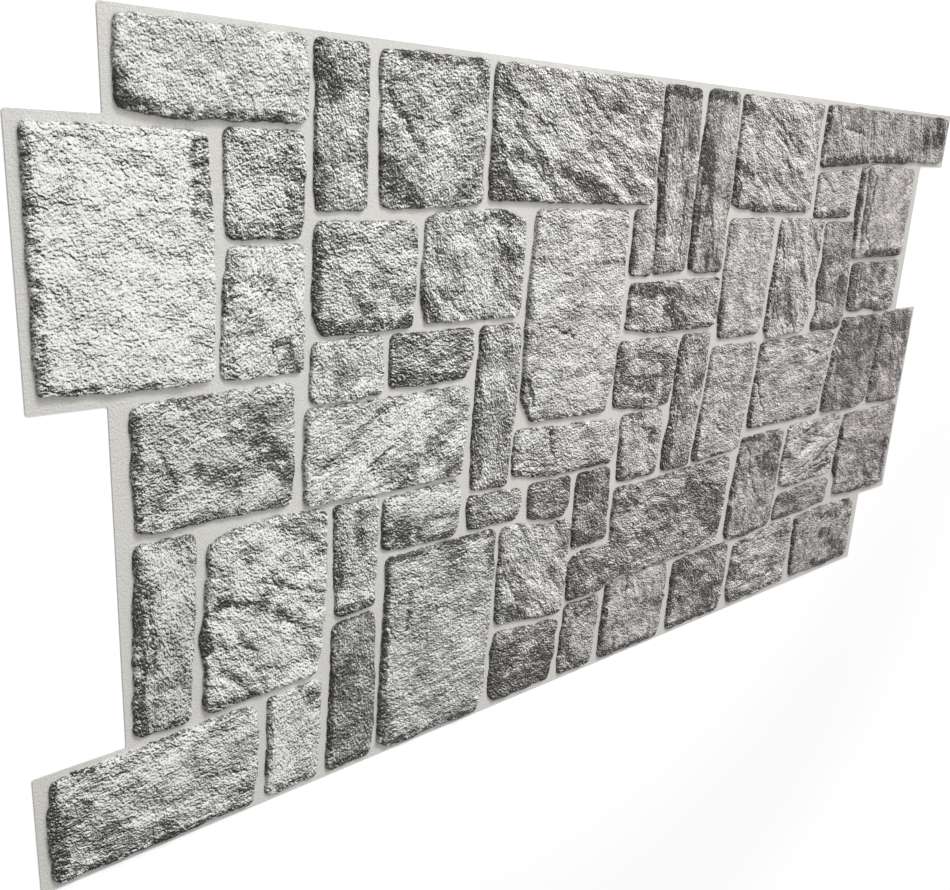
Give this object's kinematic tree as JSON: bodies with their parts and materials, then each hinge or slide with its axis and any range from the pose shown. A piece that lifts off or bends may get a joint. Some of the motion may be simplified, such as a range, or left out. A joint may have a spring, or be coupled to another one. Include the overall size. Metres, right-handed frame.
{
  "type": "faux stone wall panel",
  "caption": "Thin vacuum-formed wall panel with a raised irregular ashlar stone relief, flat grout web, hollow back and stepped interlocking ends.",
  "frame": {"origin": "centre of the back plane, under the middle of the panel's bounding box, with the panel lying face up", "axes": "+X along the courses to the right seen from the front, +Y up the wall when hung, +Z out of the stone face"},
  "size_m": [0.98, 0.498, 0.0057],
  "materials": {
    "formed_sheet": "matte, printed in greys with a light grout"
  },
  "bodies": {
    "root": {"wall_panel": "formed_sheet"}
  },
  "joints": []
}
